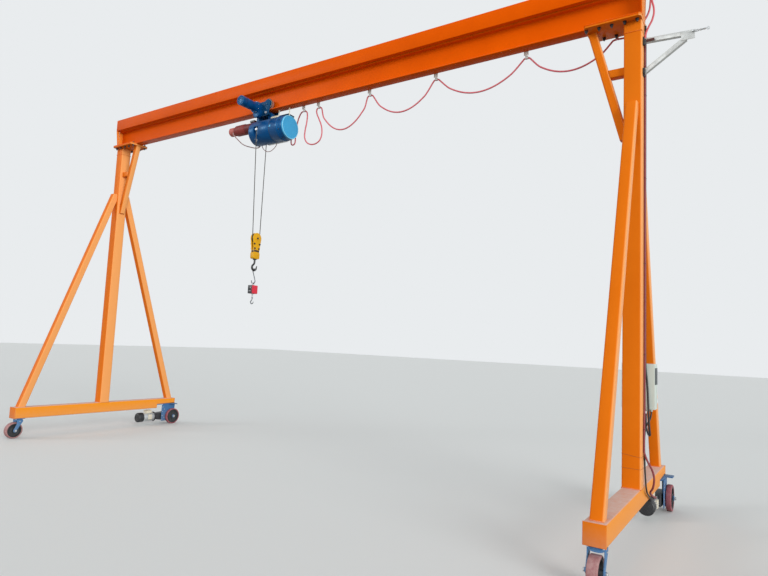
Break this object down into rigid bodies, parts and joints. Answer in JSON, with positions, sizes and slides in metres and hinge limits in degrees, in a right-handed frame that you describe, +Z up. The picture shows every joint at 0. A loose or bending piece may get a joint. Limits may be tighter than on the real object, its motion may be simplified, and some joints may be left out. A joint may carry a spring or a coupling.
{
  "type": "portable gantry crane",
  "caption": "Gantry crane with a girder on two A-shaped legs, driven rear wheels, swivel castors in front and a wire-rope hoist on a trolley.",
  "frame": {"origin": "on the floor, midway between the legs, under the middle of the girder and of the base beams", "axes": "+X along the girder towards the leg with the cabinet, +Y along the base beams towards the driven wheels, +Z up"},
  "size_m": [8.947, 2.886, 5.24],
  "materials": {
    "orange_paint": "gloss orange enamel, dusty",
    "blue_paint": "gloss blue enamel",
    "hoist_blue": "gloss dark blue enamel",
    "light_blue": "gloss light blue enamel",
    "yellow_paint": "gloss yellow enamel",
    "motor_red": "satin red enamel",
    "scale_red": "gloss red enamel",
    "grey_green": "satin light grey enamel",
    "white_clamp": "white zinc-coated steel",
    "black_iron": "black painted casting",
    "bare_steel": "zinc-coated steel",
    "motor_silver": "ribbed cast aluminium",
    "wheel_tyre": "dull red polyurethane tread",
    "red_cable": "soft red cable sheath",
    "dark_rope": "greased wire rope"
  },
  "bodies": {
    "frame": {"box_girder": "orange_paint", "i_beam": "orange_paint", "end_plates": "orange_paint", "girder_plates": "orange_paint", "leg_head_plates": "orange_paint", "left_column": "orange_paint", "right_column": "orange_paint", "left_front_brace": "orange_paint", "left_rear_brace": "orange_paint", "right_front_brace": "orange_paint", "right_rear_brace": "orange_paint", "left_knee_brace": "orange_paint", "right_knee_brace": "orange_paint", "knee_struts": "orange_paint", "left_base_beam": "orange_paint", "right_base_beam": "orange_paint", "base_end_caps": "orange_paint", "drive_brackets": "blue_paint", "drive_gearboxes": "black_iron", "drive_motors": "motor_silver", "drive_fan_covers": "black_iron", "castor_plates": "blue_paint", "control_cabinet": "grey_green", "cable_arm": "bare_steel", "wire_tensioner": "bare_steel", "column_cables": "red_cable", "cable_end_clamps": "white_clamp", "festoon_cable": "red_cable"},
    "trolley": {"trolley_plates": "hoist_blue", "trolley_drive": "hoist_blue", "hoist_housing": "hoist_blue", "hoist_end_cover": "light_blue", "hoist_motor": "motor_red", "hoist_ropes": "dark_rope"},
    "trolley_wheel_front_left": {"front_left_trolley_wheel": "hoist_blue"},
    "trolley_wheel_front_right": {"front_right_trolley_wheel": "hoist_blue"},
    "trolley_wheel_rear_left": {"rear_left_trolley_wheel": "hoist_blue"},
    "trolley_wheel_rear_right": {"rear_right_trolley_wheel": "hoist_blue"},
    "block": {"hook_block": "yellow_paint", "hook_sheave": "black_iron"},
    "hook": {"lifting_hook": "black_iron"},
    "scale": {"s_hook": "bare_steel", "crane_scale": "scale_red"},
    "low_hook": {"scale_hook": "bare_steel"},
    "left_drive_wheel": {"left_drive_hub": "black_iron", "left_drive_tyre": "wheel_tyre"},
    "right_drive_wheel": {"right_drive_hub": "black_iron", "right_drive_tyre": "wheel_tyre"},
    "left_castor": {"left_castor_fork": "blue_paint"},
    "left_castor_wheel": {"left_castor_hub": "black_iron", "left_castor_tyre": "wheel_tyre"},
    "right_castor": {"right_castor_fork": "blue_paint"},
    "right_castor_wheel": {"right_castor_hub": "black_iron", "right_castor_tyre": "wheel_tyre"},
    "carrier_1": {"cable_carrier_1": "white_clamp"},
    "carrier_2": {"cable_carrier_2": "white_clamp"},
    "carrier_3": {"cable_carrier_3": "white_clamp"},
    "carrier_4": {"cable_carrier_4": "white_clamp"},
    "carrier_5": {"cable_carrier_5": "white_clamp"}
  },
  "joints": [
    {"name": "trolley_travel", "type": "slide", "parent": "frame", "child": "trolley", "axis": [1, 0, 0], "range_m": [-2.15, 2.7], "deforming": ["festoon_cable"]},
    {"name": "hook_lift", "type": "slide", "parent": "trolley", "child": "block", "axis": [0, 0, 1], "range_m": [-2, 1.05], "deforming": ["hoist_ropes"]},
    {"name": "hook_swivel", "type": "hinge", "parent": "block", "child": "hook", "pos_m": [-0.772, 0, 2.74], "axis": [0, 0, 1], "continuous": true},
    {"name": "scale_swing", "type": "hinge", "parent": "hook", "child": "scale", "pos_m": [-0.772, 0, 2.541], "axis": [0, 1, 0], "range_deg": [-20, 20]},
    {"name": "low_hook_swivel", "type": "hinge", "parent": "scale", "child": "low_hook", "pos_m": [-0.772, 0, 2.16], "axis": [0, 0, 1], "continuous": true},
    {"name": "trolley_wheel_front_left_roll", "type": "hinge", "parent": "trolley", "child": "trolley_wheel_front_left", "pos_m": [-0.85, 0, 4.8615], "axis": [0, 1, 0], "continuous": true},
    {"name": "trolley_wheel_front_right_roll", "type": "hinge", "parent": "trolley", "child": "trolley_wheel_front_right", "pos_m": [-0.63, 0, 4.8615], "axis": [0, 1, 0], "continuous": true},
    {"name": "trolley_wheel_rear_left_roll", "type": "hinge", "parent": "trolley", "child": "trolley_wheel_rear_left", "pos_m": [-0.85, 0, 4.8615], "axis": [0, 1, 0], "continuous": true},
    {"name": "trolley_wheel_rear_right_roll", "type": "hinge", "parent": "trolley", "child": "trolley_wheel_rear_right", "pos_m": [-0.63, 0, 4.8615], "axis": [0, 1, 0], "continuous": true},
    {"name": "left_drive_roll", "type": "hinge", "parent": "frame", "child": "left_drive_wheel", "pos_m": [-4.115, 1.3, 0.135], "axis": [1, 0, 0], "continuous": true},
    {"name": "left_castor_swivel", "type": "hinge", "parent": "frame", "child": "left_castor", "pos_m": [-4.115, -1.275, 0.27], "axis": [0, 0, 1], "continuous": true},
    {"name": "left_castor_roll", "type": "hinge", "parent": "left_castor", "child": "left_castor_wheel", "pos_m": [-4.115, -1.336, 0.115], "axis": [1, 0, 0], "continuous": true},
    {"name": "right_drive_roll", "type": "hinge", "parent": "frame", "child": "right_drive_wheel", "pos_m": [4.115, 1.3, 0.135], "axis": [1, 0, 0], "continuous": true},
    {"name": "right_castor_swivel", "type": "hinge", "parent": "frame", "child": "right_castor", "pos_m": [4.115, -1.275, 0.27], "axis": [0, 0, 1], "continuous": true},
    {"name": "right_castor_roll", "type": "hinge", "parent": "right_castor", "child": "right_castor_wheel", "pos_m": [4.115, -1.336, 0.115], "axis": [1, 0, 0], "continuous": true},
    {"name": "carrier_1_slide", "type": "slide", "parent": "frame", "child": "carrier_1", "axis": [1, 0, 0], "range_m": [-2.2, 2.75]},
    {"name": "carrier_2_slide", "type": "slide", "parent": "frame", "child": "carrier_2", "axis": [1, 0, 0], "range_m": [-2.2, 2.75]},
    {"name": "carrier_3_slide", "type": "slide", "parent": "frame", "child": "carrier_3", "axis": [1, 0, 0], "range_m": [-2.2, 2.75]},
    {"name": "carrier_4_slide", "type": "slide", "parent": "frame", "child": "carrier_4", "axis": [1, 0, 0], "range_m": [-2.2, 2.75]},
    {"name": "carrier_5_slide", "type": "slide", "parent": "frame", "child": "carrier_5", "axis": [1, 0, 0], "range_m": [-2.2, 2.75]}
  ],
  "couplings": [
    {"joint": "carrier_1_slide", "follows": "trolley_travel", "ratio": 0.9892},
    {"joint": "carrier_2_slide", "follows": "trolley_travel", "ratio": 0.9594},
    {"joint": "carrier_3_slide", "follows": "trolley_travel", "ratio": 0.7642},
    {"joint": "carrier_4_slide", "follows": "trolley_travel", "ratio": 0.4473},
    {"joint": "carrier_5_slide", "follows": "trolley_travel", "ratio": 0.1144}
  ]
}
